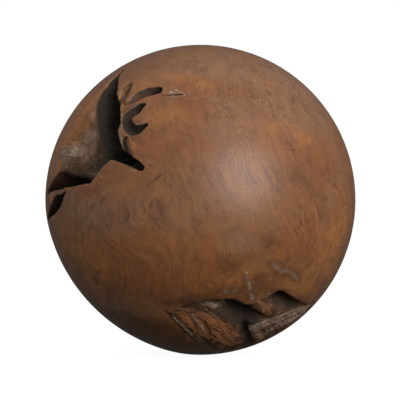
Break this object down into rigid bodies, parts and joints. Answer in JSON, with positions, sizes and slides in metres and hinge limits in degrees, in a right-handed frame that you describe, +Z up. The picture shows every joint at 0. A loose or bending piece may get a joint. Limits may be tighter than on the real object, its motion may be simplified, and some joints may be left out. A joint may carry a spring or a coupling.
{
  "type": "wooden ball",
  "caption": "Solid turned wooden ball with a wide natural root hollow, finger-like pits, a split and a weathered patch.",
  "frame": {"origin": "centre of the ball", "axes": "+Z up as pictured, -Y towards the viewer, +X to the viewer's right; the wide hollow lies on the -X side, above the middle and towards the viewer"},
  "size_m": [0.3, 0.2998, 0.3],
  "materials": {
    "root_wood": "waxed, satin"
  },
  "bodies": {
    "root": {"ball": "root_wood"}
  },
  "joints": []
}
